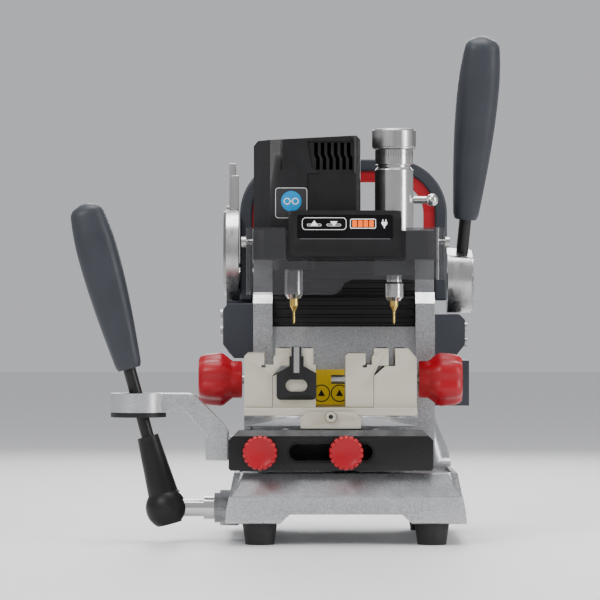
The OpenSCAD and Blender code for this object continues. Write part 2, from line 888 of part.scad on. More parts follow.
module motor_cover() {
    z = [plate_z[1], cover_top];
    vents = 6;
    vent_pitch = 6;
    color(iron_black) placed() difference() {
        translate([0, 0, z[0]]) linear_extrude(z[1] - z[0]) cover_outline(0);
        translate([0, 0, z[0] - 1]) linear_extrude(z[1] - z[0] + 1 - cover_wall)
            cover_outline(cover_wall);
        // The top rises a little to the right, with chamfered sides
        slab_xz([cover_y[0] - 1, cover_y[1] + 1]) polygon([
            [cover_x[0] - 1, z[1] + 1], [cover_x[0] - 1, z[1] - 7], [cover_x[0], z[1] - 7],
            [cover_x[0] + 3, z[1] - 3.5], [cover_x[1] - 3, z[1]], [cover_x[1], z[1] - 3],
            [cover_x[1] + 1, z[1] - 3], [cover_x[1] + 1, z[1] + 1]
        ]);
        // Recess with kinked vents
        slab_xz([cover_y[0] - 1, cover_y[0] + 1.6])
            polygon([[-27, 282], [-24, 264], [-19, 259.5], [6, 259.5], [6, 282]]);
        for (i = [0 : vents - 1])
            slab_xz([cover_y[0], cover_y[0] + 8]) translate([-22 + i * 4.6, 0]) polygon([
                [0, 281], [2.6, 281], [2.6, 273], [4, 270], [4, 262],
                [1.4, 262], [1.4, 269.5], [0, 272.5]
            ]);
        // Step between the label field and the right part of the front
        box([-27, cover_x[1] + 1], [cover_y[0] - 1, cover_y[0] + 1.2], [z[0] - 1, 259.6]);
        // Groove up the left part of the front
        box([-45.6, -44.2], [cover_y[0] - 1, cover_y[0] + 1], [262, z[1]]);
    }
}

module motor() {
    body_r = 17;
    color(steel) placed() difference() {
        union() {
            rod_z(cutter_x, 0, [plate_z[1], 270], body_r);
            rod_z(cutter_x, 0, [270, 274], 8);
        }
        rod_z(cutter_x, 0, [plate_z[1] - 1, 275], spindle_r + 0.4);
    }
}

module spindle_bearings() {
    color(steel) placed()
        for (z = [193, 211]) difference() {
            rod_z(cutter_x, 0, [z, z + 8], bearing_r);
            rod_z(cutter_x, 0, [z - 1, z + 9], spindle_r + run_gap);
        }
}

// Round tool holder nose: straight, with a short taper at its mouth
module collet(x, z) {
    translate([x, 0, z]) rotate_extrude() polygon([
        [0, 0], [4.6, 0], [collet_r, 3], [collet_r, 20], [collet_r - 1, 21], [0, 21]
    ]);
}

module spindle_shaft() {
    color(steel) placed() difference() {
        union() {
            collet(cutter_x, 171.3);
            rod_z(cutter_x, 0, [190, 272], spindle_r);
        }
        rod_z(cutter_x, 0, [170, 186], 2.9);
    }
}

// Shank, taper and needle; the tip points down
module needle(x, top) {
    translate([x, 0, tip_z]) rotate_extrude() polygon([
        [0, 0], [0.25, 0], [0.75, 1.2], [0.8, 9], [2.9, 13], [2.9, top - tip_z], [0, top - tip_z]
    ]);
}

module cutter() {
    color(brass) placed() needle(cutter_x, 185.5);
}

module tracer_quill() {
    color(steel) placed() difference() {
        union() {
            translate([tracer_x, 0, 169.8]) rotate_extrude() polygon([
                [0, 0], [4.6, 0], [6.5, 2.6], [6.5, 12], [5.4, 13.4], [5.4, 17], [0, 17]
            ]);
            rod_z(tracer_x, 0, [184, 262], 5.4);
            rod_z(tracer_x, 0, [192, 262], 6);
        }
        rod_z(tracer_x, 0, [168, 184], 2.9);
    }
}

module tracer_pin() {
    color(brass) placed() needle(tracer_x, 183.5);
}

module micrometer_barrel() {
    color(steel) placed() difference() {
        translate([tracer_x, 0, 0]) rotate_extrude() polygon([
            [0, plate_z[1]], [barrel_r, plate_z[1]], [barrel_r, 262.5], [barrel_r - 1.8, 264.5],
            [barrel_r - 1.8, 266], [barrel_r - 0.3, 266.6], [barrel_r - 0.3, 276.8], [0, 276.8]
        ]);
        rod_z(tracer_x, 0, [plate_z[1] - 1, 266], 6 + run_gap);
        rod_z(tracer_x, 0, [260, 278], 4);
        rod_x([tracer_x + 3, tracer_x + 20], 0, 241.4, 2 + run_gap);
    }
}

module micrometer_thimble() {
    color(steel) placed() difference() {
        translate([tracer_x, 0, 0]) rotate_extrude() polygon([
            [0, 277.1], [thimble_r - 1, 277.1], [thimble_r, 278], [thimble_r, 291],
            [thimble_r - 0.8, 291.8], [thimble_r - 3, 291.8], [thimble_r - 4, 290.6], [0, 290.6]
        ]);
        rod_z(tracer_x, 0, [276, 284], 3.9);
    }
    color(steel) placed() rod_z(tracer_x, 0, [268, 284], 3.9);
}

module tracer_clamp_screw() {
    color(steel) placed() {
        rod_x([tracer_x + 6.4, tracer_x + 25], 0, 241.4, 2);
        rod_x([tracer_x + barrel_r + 0.4, tracer_x + 23], 0, 241.4, 2.6);
        translate([tracer_x + 27, 0, 241.4]) sphere(4.4);
    }
}

module display_housing() {
    color(iron_black) placed() difference() {
        union() {
            slab_xz([-42.5, head_front]) round_rect([-40, 201], [39, 233], 6);
            slab_xz([head_front - 0.1, cover_y[0]]) round_rect([-40, plate_z[1]], [39, 233], 1.5);
        }
        // Shallow seat for the glass panel
        slab_xz([-44, -41.7]) round_rect([-34, 213], [33.5, 230], 1.5);
    }
}

module shield_screws() {
    color(steel) placed()
        for (s = [-1, 1]) {
            rod_x(s > 0 ? [60, 71] : [-71, -60], shield_hinge[0], shield_hinge[1], 2);
            rod_x(s > 0 ? [70, 73] : [-73, -70], shield_hinge[0], shield_hinge[1], 3.6);
        }
}

module shield() {
    inner_x = shield_x - shield_t;
    bottom = 174;
    step = 184.6;
    color([0.75, 0.78, 0.8, 0.35]) placed() difference() {
        intersection() {
            translate([0, 0, bottom]) linear_extrude(shield_top - bottom) difference() {
                round_rect([-shield_x, shield_y[0]], [shield_x, 30], 10);
                round_rect([-inner_x, shield_y[0] + shield_t], [inner_x, 40], 8);
                translate([-80, shield_y[1]]) square([160, 60]);
            }
            // Front profile: lower on the cutter's side
            slab_xz([-60, 60]) polygon([
                [-80, bottom], [-9, bottom], [-4, bottom + 2.5], [-1, step - 2.5], [4, step],
                [80, step], [80, shield_top], [42, shield_top], [42, 199], [40, 197.5],
                [-40, 197.5], [-42, 199], [-42, shield_top], [-80, shield_top]
            ]);
        }
        rod_x([-80, 80], shield_hinge[0], shield_hinge[1], 2 + run_gap);
    }
}

// ---------- head lever ----------

module on_z_lever() {
    translate([(hub_x[0] + hub_x[1]) / 2, z_axis[0], z_axis[1]])
        rotate([z_forward, 0, 0]) rotate([0, z_lean, 0]) children();
}

module z_shaft() {
    root_r = pinion_pitch_r - 1.9;
    tip_r = pinion_pitch_r + 1.3;
    color(steel) placed() {
        rod_x([-83, hub_x[0] + 12], z_axis[0], z_axis[1], z_shaft_r);
        rod_x([-8, 8], z_axis[0], z_axis[1], root_r);
        for (i = [0 : pinion_teeth - 1])
            translate([0, z_axis[0], z_axis[1]]) rotate([i * 360 / pinion_teeth, 0, 0])
                slab_yz([-8, 8]) polygon([
                    [root_r - 1, -1.25], [root_r, -1.25], [tip_r, -0.5],
                    [tip_r, 0.5], [root_r, 1.25], [root_r - 1, 1.25]
                ]);
    }
}

module z_hub() {
    color(steel) placed() difference() {
        union() {
            rod_x([hub_x[0], hub_x[1] - 1.5], z_axis[0], z_axis[1], hub_r);
            rod_x([hub_x[0] + 2, hub_x[1]], z_axis[0], z_axis[1], hub_r - 2);
        }
        rod_x([hub_x[0] - 1, hub_x[0] + 12], z_axis[0], z_axis[1], z_shaft_r);
        // Flat for the lever rod
        on_z_lever() translate([-30, -40, hub_r - 5]) cube([60, 80, 30]);
        on_z_lever() translate([0, 0, 10]) cylinder(r = 4.5, h = 40);
    }
}

module z_rod() {
    color(iron_black) placed() on_z_lever() translate([0, 0, 10]) cylinder(r = 4.5, h = 90);
}

module z_grip() {
    foot = 46;
    color(slate) placed() on_z_lever() translate([0, 0, foot])
        grip(z_len - foot, 9.6, 15.6, 12.5, 54);
}

base_casting();
rubber_feet();
x_rods();
column_casting();
z_rods();
lift_springs();
way_cover_lower();
left_side_shell();
right_side_shell();
side_screws();
left_bearing_plate();
handle_arch();
handle_inlay();
rear_cover();
control_box();
power_switch();
cross_carriage();
x_bushes();
y_rods();
front_bar();
x_lock_knob();
y_lock_knob();
table();
bed_plate();
front_bracket();
left_jaw_block();
right_jaw_block();
lever_arm();
eye_bush();
sample_key();
left_jaw_slider();
right_jaw_slider();
left_clamp_knob();
left_clamp_screw();
right_clamp_knob();
right_clamp_screw();
pivot_shaft();
xy_hood();
xy_rod();
xy_grip();
head_casting();
head_bushes();
way_cover_upper();
motor_cover();
motor();
display_housing();
micrometer_barrel();
shield_screws();
spindle_bearings();
spindle_shaft();
cutter();
tracer_quill();
tracer_pin();
micrometer_thimble();
tracer_clamp_screw();
z_shaft();
z_hub();
z_rod();
z_grip();
shield();
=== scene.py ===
"""Looks for the key duplicating machine: materials, rounded edges, grips, knobs, labels and light."""

import json
import math

import bmesh
import bpy
from mathutils import Matrix, Vector


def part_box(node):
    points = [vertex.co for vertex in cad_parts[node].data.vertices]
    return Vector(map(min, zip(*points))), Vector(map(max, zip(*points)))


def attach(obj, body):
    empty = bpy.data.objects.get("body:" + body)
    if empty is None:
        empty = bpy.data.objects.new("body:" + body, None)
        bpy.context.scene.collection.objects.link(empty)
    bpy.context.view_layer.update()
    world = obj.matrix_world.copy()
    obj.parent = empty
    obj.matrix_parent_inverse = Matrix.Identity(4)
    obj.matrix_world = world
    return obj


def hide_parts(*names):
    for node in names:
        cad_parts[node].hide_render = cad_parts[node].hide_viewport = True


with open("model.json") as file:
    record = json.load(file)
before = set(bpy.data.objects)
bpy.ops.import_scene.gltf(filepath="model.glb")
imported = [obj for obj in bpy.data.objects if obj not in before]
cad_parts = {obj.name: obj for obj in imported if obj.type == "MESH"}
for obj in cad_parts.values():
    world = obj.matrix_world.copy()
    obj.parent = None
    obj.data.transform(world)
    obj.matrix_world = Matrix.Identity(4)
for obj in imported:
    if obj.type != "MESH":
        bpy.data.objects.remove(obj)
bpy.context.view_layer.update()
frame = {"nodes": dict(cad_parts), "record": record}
MM = 0.001
scene = bpy.context.scene
nodes = frame["nodes"]


# ---------- places, all from the frame ----------

def low(node):
    return Vector(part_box(node)[0])


def high(node):
    return Vector(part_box(node)[1])


def mid(node):
    return (low(node) + high(node)) / 2


def size(node):
    return high(node) - low(node)


# ---------- materials ----------

def link(tree, a, b):
    tree.links.new(a, b)


def material(name, colour, rough, metal=0.0, grain=900, grain_depth=0.00005, mottle=0.06,
             mottle_scale=45, rough_spread=0.08, wear=0.0, wear_colour=(0.5, 0.5, 0.5),
             stretch=(1, 1, 1), coat=0.0, speckle=0.0, speckle_scale=1500, specular=0.5):
    """A surface with mottled colour, fine grain in the bump, uneven roughness and worn edges."""
    m = bpy.data.materials.new(name)
    m.use_nodes = True
    tree = m.node_tree
    tree.nodes.clear()
    out = tree.nodes.new("ShaderNodeOutputMaterial")
    shader = tree.nodes.new("ShaderNodeBsdfPrincipled")
    link(tree, shader.outputs[0], out.inputs[0])
    shader.inputs["Metallic"].default_value = metal
    shader.inputs["Specular IOR Level"].default_value = specular
    if coat:
        shader.inputs["Coat Weight"].default_value = coat
        shader.inputs["Coat Roughness"].default_value = 0.15
    coords = tree.nodes.new("ShaderNodeTexCoord")
    mapping = tree.nodes.new("ShaderNodeMapping")
    mapping.inputs["Scale"].default_value = stretch
    link(tree, coords.outputs["Object"], mapping.inputs["Vector"])

    def noise(scale, detail=4.0, vector=mapping.outputs[0]):
        n = tree.nodes.new("ShaderNodeTexNoise")
        n.inputs["Scale"].default_value = scale
        n.inputs["Detail"].default_value = detail
        link(tree, vector, n.inputs["Vector"])
        return n.outputs["Fac"]

    def ramp(fac, stops):
        r = tree.nodes.new("ShaderNodeValToRGB")
        while len(r.color_ramp.elements) < len(stops):
            r.color_ramp.elements.new(0.5)
        for e, (pos, col) in zip(r.color_ramp.elements, stops):
            e.position = pos
            e.color = (*col, 1) if len(col) == 3 else col
        link(tree, fac, r.inputs["Fac"])
        return r.outputs["Color"]

    def shade(k):
        return tuple(min(1, c * k) for c in colour)

    tone = ramp(noise(mottle_scale), [(0.3, shade(1 - mottle)), (0.7, shade(1 + mottle))])
    if speckle:
        dots = ramp(noise(speckle_scale, 1.0), [
            (0.38, (1 - speckle,) * 3), (0.5, (1, 1, 1)), (0.64, (1 + speckle,) * 3)])
        mult = tree.nodes.new("ShaderNodeMix")
        mult.data_type = "RGBA"
        mult.blend_type = "MULTIPLY"
        mult.inputs["Factor"].default_value = 1
        link(tree, tone, mult.inputs["A"])
        link(tree, dots, mult.inputs["B"])
        tone = mult.outputs["Result"]
    if wear:
        geometry = tree.nodes.new("ShaderNodeNewGeometry")
        edges = ramp(geometry.outputs["Pointiness"], [(0.53, (0, 0, 0)), (0.6, (wear,) * 3)])
        mix = tree.nodes.new("ShaderNodeMix")
        mix.data_type = "RGBA"
        link(tree, edges, mix.inputs["Factor"])
        link(tree, tone, mix.inputs["A"])
        mix.inputs["B"].default_value = (*wear_colour, 1)
        tone = mix.outputs["Result"]
    link(tree, tone, shader.inputs["Base Color"])
    spread = ramp(noise(mottle_scale * 2.3), [
        (0.3, (max(0.02, rough - rough_spread),) * 3), (0.7, (min(1, rough + rough_spread),) * 3)])
    link(tree, spread, shader.inputs["Roughness"])
    bump = tree.nodes.new("ShaderNodeBump")
    bump.inputs["Distance"].default_value = grain_depth
    bump.inputs["Strength"].default_value = 0.6
    link(tree, noise(grain), bump.inputs["Height"])
    link(tree, bump.outputs[0], shader.inputs["Normal"])
    return m


def clear_plastic(name, tint, thin, thick):
    """Smoked clear plastic: see-through, a little uneven in tint and polish."""
    m = material(name, tint, 0.1, grain=300, grain_depth=0.000004, mottle=0.1,
                 rough_spread=0.04, specular=0.9)
    tree = m.node_tree
    coords = tree.nodes["Texture Coordinate"]
    n = tree.nodes.new("ShaderNodeTexNoise")
    n.inputs["Scale"].default_value = 30
    r = tree.nodes.new("ShaderNodeValToRGB")
    r.color_ramp.elements[0].position = 0.3
    r.color_ramp.elements[0].color = (thin, thin, thin, 1)
    r.color_ramp.elements[1].position = 0.7
    r.color_ramp.elements[1].color = (thick, thick, thick, 1)
    link(tree, coords.outputs["Object"], n.inputs["Vector"])
    link(tree, n.outputs["Fac"], r.inputs["Fac"])
    link(tree, r.outputs["Color"], tree.nodes["Principled BSDF"].inputs["Alpha"])
    return m


def glowing(name, colour, strength):
    m = material(name, colour, 0.4, grain=600, grain_depth=0.00001)
    shader = m.node_tree.nodes["Principled BSDF"]
    shader.inputs["Emission Color"].default_value = (*colour, 1)
    shader.inputs["Emission Strength"].default_value = strength
    return m


MATS = {
    "silver_casting": material("silver_casting", (0.46, 0.465, 0.48), 0.34, metal=0.85, grain=1400,
                               grain_depth=0.00009, mottle=0.05, speckle=0.2, speckle_scale=1300,
                               wear=0.35, wear_colour=(0.7, 0.7, 0.7)),
    "steel": material("steel", (0.52, 0.51, 0.5), 0.3, metal=1.0, grain=700, grain_depth=0.00002,
                      stretch=(1, 1, 0.06), mottle=0.1, mottle_scale=120),
    "chrome": material("chrome", (0.62, 0.61, 0.6), 0.2, metal=1.0, grain=300, grain_depth=0.000004,
                       mottle=0.04, rough_spread=0.04),
    "black_metal": material("black_metal", (0.006, 0.006, 0.0065), 0.34, grain=1600, grain_depth=0.00004,
                            mottle=0.15, wear=0.25, wear_colour=(0.05, 0.05, 0.05), specular=0.25),
    "black_plastic": material("black_plastic", (0.009, 0.009, 0.0095), 0.42, grain=2200, grain_depth=0.00005,
                              mottle=0.12, wear=0.2, wear_colour=(0.04, 0.04, 0.042), specular=0.25),
    "slate_plastic": material("slate_plastic", (0.034, 0.038, 0.046), 0.45, grain=2000, grain_depth=0.00006,
                              mottle=0.08, wear=0.25, wear_colour=(0.08, 0.09, 0.11), specular=0.3),
    "dark_casting": material("dark_casting", (0.028, 0.028, 0.03), 0.4, metal=0.2, grain=900,
                             grain_depth=0.000004, mottle=0.1, wear=0.3,
                             wear_colour=(0.14, 0.14, 0.145), specular=0.35),
    "red_plastic": material("red_plastic", (0.34, 0.002, 0.01), 0.36, grain=1800, grain_depth=0.00003,
                            mottle=0.08, wear=0.3, wear_colour=(0.6, 0.03, 0.04), specular=0.35),
    "jaw_steel": material("jaw_steel", (0.52, 0.48, 0.38), 0.36, metal=0.4, grain=900, grain_depth=0.00003,
                          mottle=0.05, wear=0.4, wear_colour=(0.75, 0.72, 0.62)),
    "bronze": material("bronze", (0.5, 0.3, 0.12), 0.35, metal=1.0, grain=900),
    "gold": material("gold", (0.8, 0.56, 0.16), 0.22, metal=1.0, grain=500, grain_depth=0.00001),
    "rubber": material("rubber", (0.006, 0.006, 0.006), 0.65, grain=1300, grain_depth=0.0001, mottle=0.2),
    "clear": clear_plastic("clear", (0.035, 0.035, 0.038), 0.36, 0.44),
}
slot_of = {s["node"]: s["material_slot"] for s in frame["record"]["subparts"]}
body_name = {n: b for b, names in frame["record"]["behaviour"]["bodies"].items() for n in names}

for name, obj in nodes.items():
    obj.data.materials.clear()
    obj.data.materials.append(MATS[slot_of[name]])


# ---------- mesh helpers ----------

def add(name, bm, body, mat, smooth=30):
    """Turns a bmesh into a piece that rides on a body."""
    bmesh.ops.recalc_face_normals(bm, faces=bm.faces)
    mesh = bpy.data.meshes.new(name)
    bm.to_mesh(mesh)
    bm.free()
    obj = bpy.data.objects.new(name, mesh)
    scene.collection.objects.link(obj)
    mesh.materials.append(mat)
    for p in mesh.polygons:
        p.use_smooth = True
    mesh.set_sharp_from_angle(angle=math.radians(smooth))
    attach(obj, body)
    return obj


def even_shading(obj):
    """Shades flat faces flat and rounded edges smooth, by weighting the normals with face area."""
    step = obj.modifiers.new("weighted", "WEIGHTED_NORMAL")
    step.keep_sharp = True
    bpy.context.view_layer.update()
    shaded = obj.evaluated_get(bpy.context.evaluated_depsgraph_get())
    obj.data = bpy.data.meshes.new_from_object(shaded)
    obj.modifiers.clear()


def refined(node, width, shortest, angle=25, segments=3):
    """A copy of a CAD node whose long sharp edges are rounded; it stands for the node."""
    bm = bmesh.new()
    bm.from_mesh(nodes[node].data)
    bmesh.ops.remove_doubles(bm, verts=bm.verts, dist=2e-6)
    bmesh.ops.dissolve_limit(bm, angle_limit=math.radians(0.6), verts=bm.verts, edges=bm.edges)
    chosen = []
    for e in bm.edges:
        if len(e.link_faces) != 2 or e.calc_length() < shortest:
            continue
        if math.degrees(e.calc_face_angle(0)) > angle:
            chosen.append(e)
    bmesh.ops.bevel(bm, geom=chosen, offset=width, segments=segments, profile=0.5,
                    affect="EDGES", clamp_overlap=True)
    piece = add(node + "_finished", bm, body_name[node], MATS[slot_of[node]], smooth=50)
    even_shading(piece)
    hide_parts(node)


def lathe(profile, origin, axis="Z", steps=64, bm=None):
    """Turns a closed (radius, height) outline round an axis through origin."""
    bm = bm or bmesh.new()
    turn = {"Z": Matrix.Identity(3), "X": Matrix(((0, 0, 1), (0, 1, 0), (-1, 0, 0))),
            "Y": Matrix(((1, 0, 0), (0, 0, 1), (0, -1, 0)))}[axis]
    rings = []
    for i in range(steps):
        a = 2 * math.pi * i / steps
        rings.append([bm.verts.new(Vector(origin) + turn @ Vector((r * math.cos(a), r * math.sin(a), h)))
                      for r, h in profile])
    for i in range(steps):
        a, b = rings[i], rings[(i + 1) % steps]
        for k in range(len(profile)):
            n = (k + 1) % len(profile)
            if profile[k][0] < 1e-9 and profile[n][0] < 1e-9:
                continue
            bm.faces.new([a[k], a[n], b[n], b[k]])
    bmesh.ops.remove_doubles(bm, verts=bm.verts, dist=1e-7)
    return bm


def block(bm, lo_corner, hi_corner):
    made = bmesh.ops.create_cube(bm, size=1)["verts"]
    lo_corner, hi_corner = Vector(lo_corner), Vector(hi_corner)
    for v in made:
        v.co = Vector([lo_corner[i] + (v.co[i] + 0.5) * (hi_corner[i] - lo_corner[i]) for i in range(3)])
    return made


def prism(bm, outline, y_front, thick, centre=(0, 0)):
    """An outline in X and Z, in millimetres round a centre, given a thickness along Y."""
    front, back = [], []
    for x, z in outline:
        p = (centre[0] + x * MM, centre[1] + z * MM)
        front.append(bm.verts.new((p[0], y_front, p[1])))
        back.append(bm.verts.new((p[0], y_front + thick, p[1])))
    bm.faces.new(front)
    bm.faces.new(back[::-1])
    for i in range(len(front)):
        n = (i + 1) % len(front)
        bm.faces.new([front[i], back[i], back[n], front[n]])


def ring_outline(bm, outer, inner, y_front, thick, centre=(0, 0)):
    """A flat ring between two outlines with the same number of points."""
    def verts(outline, y):
        return [bm.verts.new((centre[0] + x * MM, y, centre[1] + z * MM)) for x, z in outline]
    of, ob = verts(outer, y_front), verts(outer, y_front + thick)
    nf, nb = verts(inner, y_front), verts(inner, y_front + thick)
    for i in range(len(outer)):
        n = (i + 1) % len(outer)
        bm.faces.new([of[i], of[n], nf[n], nf[i]])
        bm.faces.new([ob[i], nb[i], nb[n], ob[n]])
        bm.faces.new([of[i], ob[i], ob[n], of[n]])
        bm.faces.new([nf[i], nf[n], nb[n], nb[i]])


def circle_points(r, count=40):
    """Round outline, or a regular one with few points, in millimetres round its centre."""
    turns = [2 * math.pi * i / count for i in range(count)]
    return [(r * math.cos(a), r * math.sin(a)) for a in turns]


def rounded(w, h, r, steps=6):
    """Rounded rectangle outline, in millimetres, round its centre."""
    points = []
    for cx, cz, start in ((w / 2 - r, h / 2 - r, 0), (r - w / 2, h / 2 - r, 90),
                          (r - w / 2, r - h / 2, 180), (w / 2 - r, r - h / 2, 270)):
        for i in range(steps + 1):
            a = math.radians(start + 90 * i / steps)
            points.append((cx + r * math.cos(a), cz + r * math.sin(a)))
    return points


# ---------- rounded castings and covers ----------

# Width of the rounded edge and the shortest edge that gets one, in millimetres
ROUNDED = {
    "base_casting": (1.0, 20), "column_casting": (1.6, 12), "table": (0.7, 8), "cross_carriage": (0.8, 10),
    "front_bar": (0.7, 4), "bed_plate": (0.4, 4), "front_bracket": (0.4, 4), "left_jaw_block": (0.35, 1.2),
    "right_jaw_block": (0.35, 1.2), "left_jaw_slider": (0.35, 1.2), "right_jaw_slider": (0.35, 1.2),
    "lever_arm": (1.6, 5), "head_casting": (1.2, 10), "motor_cover": (1.4, 12), "display_housing": (1.0, 6),
    "left_side_shell": (1.8, 8), "right_side_shell": (1.8, 8), "handle_arch": (1.8, 2),
    "handle_inlay": (0.8, 2), "rear_cover": (1.2, 10), "control_box": (1.5, 8),
    "left_bearing_plate": (0.7, 3), "sample_key": (0.5, 1.5), "z_hub": (0.8, 8),
}
for node, (width_mm, shortest_mm) in ROUNDED.items():
    refined(node, width_mm * MM, shortest_mm * MM)


# ---------- lever grips ----------

def grip(node, start, end, foot_r, full_r, top_r, body):
    """A moulded grip along a line: slim foot, full middle, round end, and panels sunk front and back."""
    start, end = Vector(start), Vector(end)
    along = (end - start).normalized()
    length = (end - start).length
    side = Vector((0, 1, 0)).cross(along).normalized()
    depth = along.cross(side).normalized()
    rings, steps = 44, 40
    # Shares of the length: the foot's rounding, the full middle, the start of the round end
    foot_t, full_t, tip_t = 0.03, 0.7, 0.93
    square = 2.5                      # 2 is an ellipse, more is squarer
    flat = 0.86                       # depth of the section over its width
    panel_sink = 0.45
    bm = bmesh.new()
    last = []
    for i in range(rings + 1):
        t = i / rings
        if t < foot_t:
            r = foot_r * (0.86 + 0.14 * (t / foot_t) ** 0.5)
        elif t < full_t:
            r = foot_r + (full_r - foot_r) * math.sin(math.pi / 2 * (t - foot_t) / (full_t - foot_t))
        elif t < tip_t:
            r = full_r - (full_r - top_r) * ((t - full_t) / (tip_t - full_t)) ** 2
        else:
            u = (t - tip_t) / (1 - tip_t)
            r = top_r * math.sqrt(max(0.0, 1 - (u * 0.97) ** 2.2))
        ring = []
        for k in range(steps):
            a = 2 * math.pi * k / steps
            c, s = math.cos(a), math.sin(a)
            rr = r / (abs(c) ** square + abs(s / flat) ** square) ** (1 / square)
            if 0.16 < t < 0.8 and abs(s) > 0.86:
                rr -= panel_sink
            p = start + along * (t * length) + (side * c + depth * s) * rr * MM
            ring.append(bm.verts.new(p))
        if last:
            for k in range(steps):
                n2 = (k + 1) % steps
                bm.faces.new([last[k], last[n2], ring[n2], ring[k]])
        else:
            bm.faces.new(ring[::-1])
        last = ring
    bm.faces.new(last)
    piece = add(node + "_moulded", bm, body, MATS["slate_plastic"], smooth=40)
    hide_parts(node)


xy_tilt = math.radians(15.2)
xy_dir = Vector((-math.sin(xy_tilt), 0, math.cos(xy_tilt)))
# Distances along the table lever from its pivot: middle of the rod, grip's foot and grip's tip
xy_rod_mid, xy_grip_foot, xy_grip_tip = 89, 101, 221
rod_mid = mid("xy_rod")
xy_foot = rod_mid + xy_dir * (xy_grip_foot - xy_rod_mid) * MM
xy_tip = rod_mid + xy_dir * (xy_grip_tip - xy_rod_mid) * MM
grip("xy_grip", xy_foot, xy_tip, 9.3, 14.4, 12.2, "xy_lever")

z_lean, z_forward = math.radians(5), math.radians(12)
z_dir = Matrix.Rotation(z_forward, 3, "X") @ Matrix.Rotation(z_lean, 3, "Y") @ Vector((0, 0, 1))
# The same distances along the head lever, from the shaft
z_rod_mid, z_grip_foot, z_grip_tip = 55, 46, 182
z_mid = mid("z_rod")
z_foot = z_mid + z_dir * (z_grip_foot - z_rod_mid) * MM
z_tip = z_mid + z_dir * (z_grip_tip - z_rod_mid) * MM
grip("z_grip", z_foot, z_tip, 9.6, 15.4, 13.2, "z_lever")


# ---------- knobs ----------

def lock_knob(node, body):
    """Round knob with eighteen small notches, a dished face and a rolled rim, with its screw."""
    lo, hi, c = low(node), high(node), mid(node)
    r = size(node).z / 2 / MM - 0.1
    bm = bmesh.new()
    steps = 144
    notches = 18
    profile = [(0.0, 1.2), (0.62, 1.1), (0.70, 0.5), (0.78, 0.3), (0.88, 0.0), (0.96, 0.7), (1.0, 2.0),
               (1.0, 11.2), (0.93, 12.4), (0.6, 12.6), (0.6, 14.5), (0.0, 14.5)]
    rings = []
    for i in range(steps):
        a = 2 * math.pi * i / steps
        cut = max(0.0, math.cos(notches * a) - 0.55) / 0.45
        ring = []
        for f, y in profile:
            rr = f * r - (1.1 * cut if f > 0.8 and y < 12.5 else 0)
            ring.append(bm.verts.new((c.x + rr * math.cos(a) * MM, lo.y + y * MM,
                                      c.z + rr * math.sin(a) * MM)))
        rings.append(ring)
    for i in range(steps):
        a, b = rings[i], rings[(i + 1) % steps]
        for k in range(len(profile) - 1):
            bm.faces.new([a[k], a[k + 1], b[k + 1], b[k]])
    bmesh.ops.remove_doubles(bm, verts=bm.verts, dist=1e-7)
    piece = add(node + "_moulded", bm, body, MATS["red_plastic"], smooth=35)
    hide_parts(node)
    knob_back = profile[-1][1] * MM
    screw_r, screw_long = 3.9 * MM, hi.y - lo.y - knob_back
    screw = lathe([(0, 0), (screw_r, 0), (screw_r, screw_long), (0, screw_long)],
                  (c.x, lo.y + knob_back, c.z), "Y", 32)
    add(node + "_screw", screw, body, MATS["steel"])


lock_knob("x_lock_knob", "x_lock")
lock_knob("y_lock_knob", "y_lock")


def clamp_knob(node, body, sign):
    """Flared knob with six soft lobes and a short neck."""
    lo, hi, c = low(node), high(node), mid(node)
    start = lo.x if sign > 0 else hi.x
    profile = [(0.0, 0), (12.6, 0), (13.1, 0.6), (13.1, 6.5), (14.5, 8.5), (18.2, 13.0), (18.9, 15.5),
               (18.7, 19), (18.0, 25.5), (16.6, 29.4), (14.5, 30.7), (12.0, 30.4), (10.5, 29.6),
               (0.0, 29.4)]
    steps = 96
    bm = bmesh.new()
    rings = []
    for i in range(steps):
        a = 2 * math.pi * i / steps
        lobe = 0.5 + 0.5 * math.cos(6 * a)
        ring = []
        for r, h in profile:
            shrink = 1 - (0.11 * (1 - lobe) ** 1.5 if h > 8 and r > 12.5 else 0)
            rr = r * shrink * MM
            ring.append(bm.verts.new((start + sign * h * MM, c.y + rr * math.sin(a), c.z + rr * math.cos(a))))
        rings.append(ring)
    for i in range(steps):
        a, b = rings[i], rings[(i + 1) % steps]
        for k in range(len(profile) - 1):
            bm.faces.new([a[k], a[k + 1], b[k + 1], b[k]])
    bmesh.ops.remove_doubles(bm, verts=bm.verts, dist=1e-7)
    piece = add(node + "_moulded", bm, body, MATS["red_plastic"], smooth=40)
    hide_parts(node)


clamp_knob("left_clamp_knob", "left_clamp", -1)
clamp_knob("right_clamp_knob", "right_clamp", 1)


# ---------- micrometer ----------

